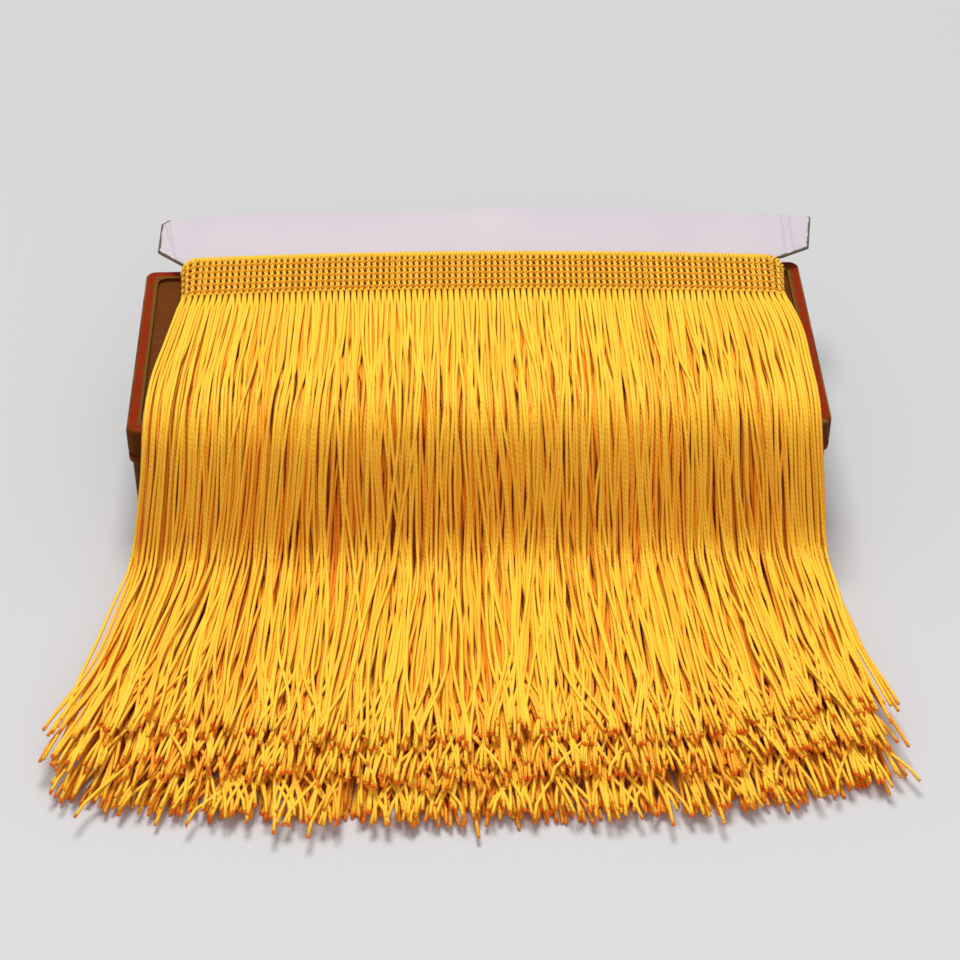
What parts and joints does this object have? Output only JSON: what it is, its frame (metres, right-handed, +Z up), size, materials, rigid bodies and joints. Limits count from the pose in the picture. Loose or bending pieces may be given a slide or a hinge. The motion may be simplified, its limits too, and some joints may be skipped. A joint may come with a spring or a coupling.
{
  "type": "fringe trim wound on a card, on a wooden block",
  "caption": "Corded fringe trim wound flat on a card, lying on a wooden block; its cords fall over the front edge to the table in ragged tiers.",
  "frame": {"origin": "bottom centre of the bounding box, on the table", "axes": "+Z up, -Y towards the cords' cut tips, +Y towards the card's flange, X along the heading"},
  "size_m": [0.2392, 0.24, 0.0524],
  "materials": {
    "wood": "dark red-brown lacquer, worn at the edges",
    "card": "pale coated card, grey-brown at its cut edges",
    "heading": "warp-knitted golden yellow yarn",
    "cord": "twisted golden yellow cord with a soft sheen"
  },
  "bodies": {
    "root": {"wood_block": "wood", "winding_card": "card", "heading_winding": "heading", "fringe_lower": "cord", "fringe_middle": "cord", "fringe_upper": "cord"}
  },
  "joints": []
}
